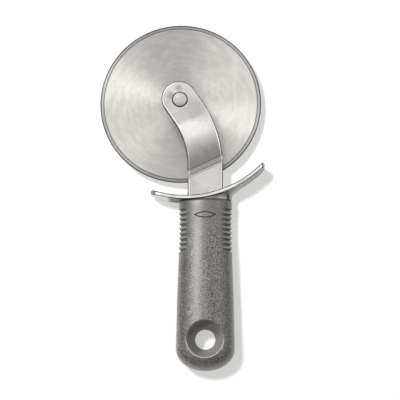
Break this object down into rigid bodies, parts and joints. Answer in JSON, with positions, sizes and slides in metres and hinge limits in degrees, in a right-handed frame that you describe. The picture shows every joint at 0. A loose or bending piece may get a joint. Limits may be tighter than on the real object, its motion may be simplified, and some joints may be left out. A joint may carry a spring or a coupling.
{
  "type": "pizza cutter wheel",
  "caption": "Pizza cutter with a spinning bevelled steel disc on a curved steel arm, a curved finger guard and an oval soft-grip handle with a hanging hole.",
  "frame": {"origin": "centre of the hanging hole, on the mid-plane of the handle and of the cutting wheel", "axes": "+X to the right seen from the front, +Y along the handle towards the wheel, +Z out of the front face, along the hanging hole and the wheel's axle"},
  "size_m": [0.1036, 0.2189, 0.025],
  "materials": {
    "wheel_steel": "concentric brushing",
    "bearing_plastic": "plain acetal",
    "rivet_steel": "polished stainless",
    "arm_steel": "polished stainless",
    "guard_steel": "polished stainless",
    "core_plastic": "moulded",
    "grip_rubber": "soft matte moulding"
  },
  "bodies": {
    "handle": {"handle_grip": "grip_rubber", "handle_core": "core_plastic", "arm": "arm_steel", "guard": "guard_steel", "axle_rivet": "rivet_steel", "rivet_burr": "rivet_steel"},
    "wheel": {"cutting_wheel": "wheel_steel", "wheel_bush": "bearing_plastic", "thrust_washer": "bearing_plastic"}
  },
  "joints": [
    {"name": "wheel_spin", "type": "hinge", "parent": "handle", "child": "wheel", "pos_m": [-0.0158, 0.1489, 0], "axis": [0, 0, 1], "continuous": true}
  ]
}
